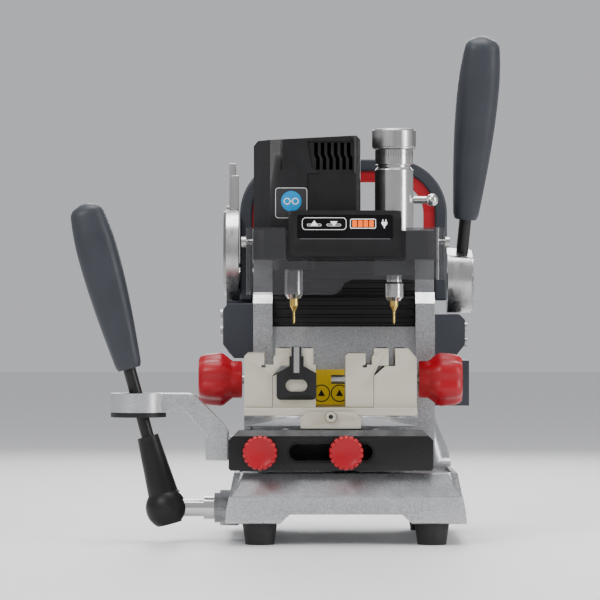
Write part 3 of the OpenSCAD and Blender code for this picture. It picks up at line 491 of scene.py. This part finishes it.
def thimble():
    """Diamond-knurled drum with plain rims and a dished top."""
    hi, c = high("micrometer_thimble"), mid("micrometer_thimble")
    r = size("micrometer_thimble").x / 2
    drum_low = hi.z - 14.6 * MM
    rows, steps = 22, 132
    bm = bmesh.new()
    knurl_low, knurl_high = drum_low + 1.8 * MM, hi.z - 1.4 * MM
    # Radius, height and row of the knurl, or 0 where the drum is plain
    rings = [(0.0, drum_low, 0), (r - 1.2 * MM, drum_low, 0), (r - 0.5 * MM, drum_low + 0.4 * MM, 0),
             (r - 0.5 * MM, drum_low + 1.4 * MM, 0)]
    for k in range(rows + 1):
        rings.append((r - 0.42 * MM, knurl_low + (knurl_high - knurl_low) * k / rows, k + 1))
    rings += [(r - 0.5 * MM, hi.z - 1.0 * MM, 0), (r - 1.0 * MM, hi.z - 0.2 * MM, 0), (r - 2.6 * MM, hi.z, 0),
              (r - 3.8 * MM, hi.z - 1.1 * MM, 0), (r - 9 * MM, hi.z - 1.1 * MM, 0), (0.0, hi.z - 1.1 * MM, 0)]
    made = []
    for rr, z, row in rings:
        ring = []
        for i in range(steps):
            a = 2 * math.pi * i / steps
            lift = 0.4 * MM if row and (i + row) % 2 == 0 else 0
            out = rr + lift
            ring.append(bm.verts.new((c.x + out * math.cos(a), c.y + out * math.sin(a), z)))
        made.append(ring)
    for p, q in zip(made, made[1:]):
        for i in range(steps):
            n = (i + 1) % steps
            bm.faces.new([p[i], p[n], q[n], q[i]])
    bmesh.ops.remove_doubles(bm, verts=bm.verts, dist=1e-7)
    piece = add("micrometer_thimble_knurled", bm, "thimble", MATS["steel"], smooth=18)
    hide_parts("micrometer_thimble")


thimble()


def graduations():
    """Tall and short engraved marks round the top of the barrel."""
    c, hi = mid("micrometer_barrel"), high("micrometer_barrel").z
    r = size("micrometer_barrel").x / 2 - 0.28 * MM
    bm = bmesh.new()
    marks = 50
    for i in range(marks):
        a = 2 * math.pi * i / marks
        tall = 6.5 if i % 5 == 0 else 4.2
        top = hi - 0.4 * MM
        made = block(bm, (r - 0.05 * MM, -0.12 * MM, top - tall * MM), (r + 0.04 * MM, 0.12 * MM, top))
        bmesh.ops.rotate(bm, verts=made, cent=(0, 0, 0), matrix=Matrix.Rotation(a, 3, "Z"))
        bmesh.ops.translate(bm, verts=made, vec=(c.x, c.y, 0))
    add("barrel_graduations", bm, "head", MATS["black_metal"])


graduations()


# ---------- display ----------

glass_black = material("panel_glass", (0.003, 0.003, 0.0035), 0.3, grain=300,
                       grain_depth=0.000003, mottle=0.2, specular=0.15)
icon_white = glowing("icon_white", (0.85, 0.85, 0.85), 0.45)
battery_orange = glowing("battery_orange", (1.0, 0.13, 0.0), 0.45)
panel_c = Vector((mid("display_housing").x, low("display_housing").y, low("display_housing").z + 20.5 * MM))


def flat_piece(name, outline, body, mat, centre, y_front, thick=0.35):
    bm = bmesh.new()
    prism(bm, outline, y_front, thick * MM, centre)
    return add(name, bm, body, mat)


panel_y = panel_c.y + 0.1 * MM
flat_piece("display_panel", rounded(66, 16, 1.6), "head", glass_black,
           (panel_c.x, panel_c.z), panel_y, 0.9)


def frame_piece(name, w, h, r, line, centre, y_front, mat, body="head", depth=0.12):
    """A thin line, `line` millimetres wide, along the edge of a rounded rectangle."""
    inner = rounded(w - 2 * line, h - 2 * line, max(0.1, r - line))
    bm = bmesh.new()
    ring_outline(bm, rounded(w, h, r), inner, y_front, depth * MM, centre)
    return add(name, bm, body, mat)


icon_y = panel_y - 0.06 * MM
for index, (dx, up) in enumerate(((-21.5, 1), (-7.8, -1))):
    at = (panel_c.x + dx * MM, panel_c.z + 2.4 * MM)
    flat_piece("level_arrow_%d" % index, [(-2.6, -1.5 * up), (2.6, -1.5 * up), (0, 2.1 * up)],
               "head", icon_white, at, icon_y, 0.12)
    frame_piece("level_rail_%d" % index, 10, 1.6, 0.75, 0.25, (at[0], at[1] - 1.1 * MM),
                icon_y + 0.02 * MM, icon_white)
# Open bracket round the two arrows
frame_piece("level_frame", 31, 8.6, 2.6, 0.32, (panel_c.x - 14.5 * MM, panel_c.z + 2.2 * MM),
            icon_y, icon_white)
battery_at = (panel_c.x + 12.6 * MM, panel_c.z + 2.2 * MM)
frame_piece("battery_frame", 18, 6.8, 1.0, 0.45, battery_at, icon_y, icon_white)
for k in range(4):
    flat_piece("battery_bar_%d" % k, rounded(3.2, 4.8, 0.3), "head", battery_orange,
               (battery_at[0] + (k - 1.5) * 3.9 * MM, battery_at[1]), icon_y, 0.12)
plug_at = (panel_c.x + 27.5 * MM, panel_c.z + 2.2 * MM)
plug = bmesh.new()
prism(plug, [(-2, 1.2), (2, 1.2), (2, 0), (0.9, -1.6), (0.35, -1.9), (0.35, -3.2),
             (-0.35, -3.2), (-0.35, -1.9), (-0.9, -1.6), (-2, 0)], icon_y, 0.12 * MM, plug_at)
for s in (-1, 1):
    prism(plug, [(s * 1.1 - 0.3, 1.1), (s * 1.1 + 0.3, 1.1), (s * 1.1 + 0.3, 3.0), (s * 1.1 - 0.3, 3.0)],
          icon_y, 0.12 * MM, plug_at)
add("plug_icon", plug, "head", icon_white)
# Lip under the panel
flat_piece("display_lip", rounded(64, 1.5, 0.7), "head", MATS["chrome"],
           (panel_c.x, panel_c.z - 9.0 * MM), panel_y - 0.05 * MM, 0.6)


# ---------- labels ----------

cover_lo = low("motor_cover")
label_c = (cover_lo.x + 26.5 * MM, cover_lo.z + 19.6 * MM)
label_y = cover_lo.y - 0.02 * MM
label_grey = material("label_grey", (0.035, 0.035, 0.037), 0.4, grain=400, grain_depth=0.000005, specular=0.2)
label_blue = material("label_blue", (0.0, 0.24, 0.55), 0.35, grain=400, grain_depth=0.000005, specular=0.2)
label_white = material("label_white", (0.75, 0.76, 0.76), 0.4, grain=400, grain_depth=0.000005)
# The yellow is the label's own colour. Its faint emission is painted light that brightens the plate where it
# sits in shade between the jaws.
label_yellow_painted_glow = glowing("label_yellow_painted_glow", (0.9, 0.62, 0.01), 0.16)
flat_piece("cover_label", rounded(22, 21, 2), "head", label_grey, label_c, label_y, 0.1)
frame_piece("cover_label_edge", 22.4, 21.4, 2.2, 0.35, label_c, label_y - 0.03 * MM, label_white)
sign_c = (label_c[0], label_c[1] + 1.2 * MM)
flat_piece("cover_sign", circle_points(7.2), "head", label_blue, sign_c,
           label_y - 0.04 * MM, 0.1)
goggles = bmesh.new()
for s in (-1, 1):
    ring_outline(goggles, circle_points(2.4, 28), circle_points(1.7, 28), label_y - 0.07 * MM, 0.08 * MM,
                 (sign_c[0] + s * 2.9 * MM, sign_c[1]))
prism(goggles, [(-0.7, 0.4), (0.7, 0.4), (0.7, -0.2), (-0.7, -0.2)], label_y - 0.07 * MM, 0.08 * MM, sign_c)
add("goggles_sign", goggles, "head", label_white)

# Guard plate label between the jaws; its faint glow is painted light
bed_hi = high("bed_plate")
gap_c = ((high("left_jaw_block").x + low("right_jaw_slider").x) / 2, bed_hi.z + 12.7 * MM)
back_y = bed_hi.y - 3 * MM
flat_piece("jaw_label_plate", rounded(34, 25.2, 0.6), "table", label_yellow_painted_glow, gap_c, back_y, 1.2)
warning = bmesh.new()
for dx in (-6, 7):
    ring_c = (gap_c[0] + dx * MM, gap_c[1] - 4.5 * MM)
    ring_outline(warning, circle_points(6.3, 36), circle_points(5.5, 36), back_y - 0.06 * MM,
                 0.08 * MM, ring_c)
    prism(warning, [(-2.6, -2), (2.6, -2), (0, 2.8)], back_y - 0.06 * MM, 0.08 * MM, ring_c)
add("jaw_label_signs", warning, "table", label_grey)


# ---------- screws, rear plate, hinge caps, key blade and jaw pads ----------

def socket_screw(name, centre, r, body):
    """Button screw head facing the front. A flat black hexagon on the head is painted shade standing for the
    six-sided socket, and a thin black ring round the head is painted shade in the gap round it.
    """
    y = centre[1]
    head = lathe([(0, 0), (r, 0), (r, 0.5 * MM), (0.86 * r, 1.1 * MM), (0.5 * r, 1.4 * MM), (0, 1.4 * MM)],
                 centre, "Y", 40)
    for v in head.verts:
        v.co.y = 2 * y - v.co.y
    add(name + "_head", head, body, MATS["chrome"])
    # Black hexagon: painted shade of the socket recess
    socket = bmesh.new()
    prism(socket, circle_points(0.5 * r / MM, 6), y - 1.48 * MM, 0.3 * MM, (centre[0], centre[2]))
    add(name + "_socket", socket, body, MATS["black_metal"])
    # Thin black ring round the head: painted shade in the gap
    shade_ring = bmesh.new()
    ring_outline(shade_ring, circle_points(r / MM + 0.7), circle_points(r / MM - 0.2), y - 0.35 * MM, 0.34 * MM,
                 (centre[0], centre[2]))
    add(name + "_edge", shade_ring, body, MATS["black_metal"])


bracket_low = low("front_bracket")
screw_at = (mid("front_bracket").x, bracket_low.y + 1.6 * MM, bracket_low.z + 8.2 * MM)
socket_screw("bracket_screw", screw_at, 3.4 * MM, "table")

# Corner screws and a blank rating plate on the rear cover
rear_low, rear_high = low("rear_cover"), high("rear_cover")
rear_x = mid("column_casting").x
rear = bmesh.new()
for sx in (-1, 1):
    for z in (rear_low.z + 9 * MM, rear_high.z - 9 * MM):
        centre = (rear_x + sx * 54 * MM, rear_high.y - 1.6 * MM, z)
        lathe([(0, 0), (3.2 * MM, 0), (3.2 * MM, 1.0 * MM), (2.6 * MM, 1.5 * MM), (1.3 * MM, 1.5 * MM),
               (1.3 * MM, 0.6 * MM), (0, 0.6 * MM)], centre, "Y", 24, rear)
add("rear_screws", rear, "base", MATS["steel"])
plate_c = (rear_x, rear_high.z - 34 * MM)
flat_piece("rear_plate", rounded(50, 22, 1.5), "base", label_grey, plate_c,
           rear_high.y - 0.05 * MM, 0.04)
frame_piece("rear_plate_edge", 47, 19, 1.2, 0.4, plate_c, rear_high.y - 0.06 * MM, label_white,
            body="base", depth=0.06)

# Black caps over the hinge pin of the table lever
pin_z = mid("pivot_shaft").z
for name, side_y in (("front", -14.3), ("back", 14.3)):
    cap = bmesh.new()
    block_y = mid("pivot_shaft").y + side_y * MM
    prism(cap, circle_points(3.1), block_y - 0.3 * MM, 0.6 * MM, (low("pivot_shaft").x + 6 * MM, pin_z))
    add("hinge_cap_" + name, cap, "lever_shaft", MATS["black_plastic"])

# Black strip behind the slot of the front bar: painted shadow, a dark sheet where the slot is only in shade
carr_low, carr_x = low("cross_carriage"), mid("cross_carriage").x
strip = bmesh.new()
block(strip, (carr_x - 31 * MM, carr_low.y + 19.3 * MM, carr_low.z + 22 * MM),
      (carr_x + 32 * MM, carr_low.y + 19.9 * MM, carr_low.z + 36.4 * MM))
add("slot_shadow_strip", strip, "x_carriage", MATS["rubber"])

# Steel blade of the sample key between two dark edges
key_c = mid("sample_key")
key_top = high("sample_key").z
key_y = low("sample_key").y
blade_at = (key_c.x, key_top - 18.1 * MM)
blade = bmesh.new()
for s in (-1, 1):
    prism(blade, [(s * 3.35, 0), (s * 3.35, 17.4), (s * 2.9, 18), (s * 1.9, 18), (s * 1.9, 0)],
          key_y - 0.12 * MM, 0.5 * MM, blade_at)
add("key_blade_edges", blade, "table", MATS["black_metal"])
flat_piece("key_blade", [(-1.9, 0), (-1.9, 18), (1.9, 18), (1.9, 0)], "table", MATS["steel"],
           blade_at, key_y - 0.2 * MM, 0.8)


def jaw_pads(name, body, node, spans):
    """Thin dark grip pads on top of a jaw's towers."""
    bm = bmesh.new()
    lo, hi = low(node), high(node)
    for x0, x1, z in spans:
        block(bm, (lo.x + x0 * MM, lo.y + 2 * MM, z - 0.01 * MM),
              (lo.x + x1 * MM, hi.y - 2 * MM, z + 0.5 * MM))
    bmesh.ops.bevel(bm, geom=list(bm.edges), offset=0.15 * MM, segments=2, affect="EDGES")
    add(name, bm, body, MATS["black_metal"])


pad_z = high("left_jaw_slider").z - 0.45 * MM
jaw_pads("left_jaw_pads", "left_jaw", "left_jaw_slider", [(24, 32.4, pad_z)])
jaw_pads("left_block_pads", "table", "left_jaw_block", [(21, 27, pad_z)])
jaw_pads("right_jaw_pads", "right_jaw", "right_jaw_slider", [(22, 29.8, pad_z)])
jaw_pads("right_block_pads", "table", "right_jaw_block", [(15.5, 22, pad_z)])


# ---------- camera, light, floor ----------

# The view is this wide in the plane of the tools; the camera stands left of the base's middle
view_width = 0.426
camera_height = 0.1704
camera_left = 0.03195
sensor_mm = 36
camera_distance = 2.6
base_x = mid("rubber_feet").x
tool_y = mid("cutter").y
camera = bpy.data.objects.new("camera", bpy.data.cameras.new("camera"))
scene.collection.objects.link(camera)
camera.location = (base_x - camera_left, tool_y - camera_distance, camera_height)
camera.rotation_euler = (math.radians(90), 0, 0)
camera.data.lens = sensor_mm * camera_distance / view_width
scene.camera = camera


def area_light(name, at, target, power, width, height=None):
    data = bpy.data.lights.new(name, "AREA")
    data.energy = power
    data.shape = "RECTANGLE"
    data.size = width
    data.size_y = height or width
    obj = bpy.data.objects.new(name, data)
    scene.collection.objects.link(obj)
    obj.location = at
    obj.rotation_euler = (Vector(target) - Vector(at)).to_track_quat("-Z", "Y").to_euler()


focus = (0, 0, 0.16)
area_light("key_light", (-0.9, -1.2, 1.1), focus, 16, 0.5)
area_light("fill_light", (1.1, -0.6, 0.5), focus, 9, 0.3, 1.0)
area_light("top_light", (0, 0.0, 1.2), focus, 12, 0.7)
area_light("back_light", (0.1, 1.1, 0.8), focus, 12, 0.9)

world = bpy.data.worlds.new("studio")
scene.world = world
world.use_nodes = True
world.node_tree.nodes["Background"].inputs["Color"].default_value = (0.95, 0.96, 1, 1)
world.node_tree.nodes["Background"].inputs["Strength"].default_value = 0.55

floor_bm = bmesh.new()
bmesh.ops.create_grid(floor_bm, x_segments=1, y_segments=1, size=6)
floor_mesh = bpy.data.meshes.new("floor")
floor_bm.to_mesh(floor_mesh)
floor_bm.free()
floor = bpy.data.objects.new("floor", floor_mesh)
scene.collection.objects.link(floor)
floor_mesh.materials.append(material("floor", (0.82, 0.82, 0.82), 0.5, grain=200, mottle=0.01))
